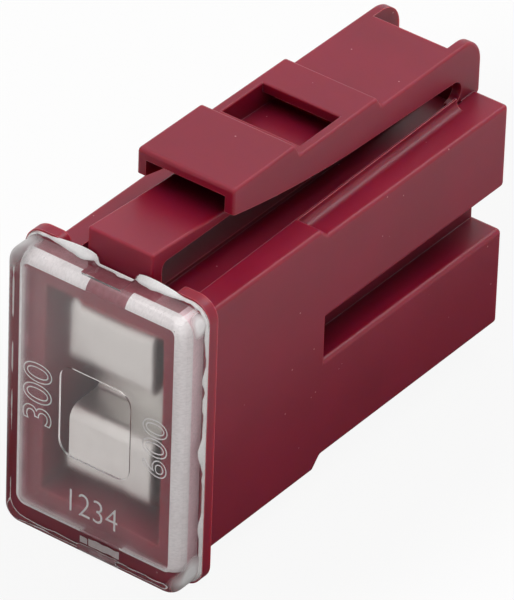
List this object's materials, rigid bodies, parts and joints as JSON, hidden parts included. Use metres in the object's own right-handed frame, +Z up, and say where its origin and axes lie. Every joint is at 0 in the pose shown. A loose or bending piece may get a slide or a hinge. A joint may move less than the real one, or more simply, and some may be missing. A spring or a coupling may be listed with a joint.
{
  "type": "automotive cartridge fuse",
  "caption": "Cartridge fuse with a moulded block body, a clear front window cap, a stepped latch lever on top and female blade terminals inside.",
  "frame": {"origin": "bottom centre of the bounding box, under the flange", "axes": "+X across the width, +Y from the window cap to the rear wall with the blade slots, +Z up to the latch lever"},
  "size_m": [0.0124, 0.0306, 0.0217],
  "materials": {
    "housing_plastic": "dark red moulded plastic with a fine satin skin",
    "clear_plastic": "clear glossy moulded plastic",
    "plated_copper_alloy": "matt tin plating on a stamped copper alloy strip"
  },
  "bodies": {
    "root": {"housing": "housing_plastic", "window_cap": "clear_plastic", "fuse_element": "plated_copper_alloy"}
  },
  "joints": []
}
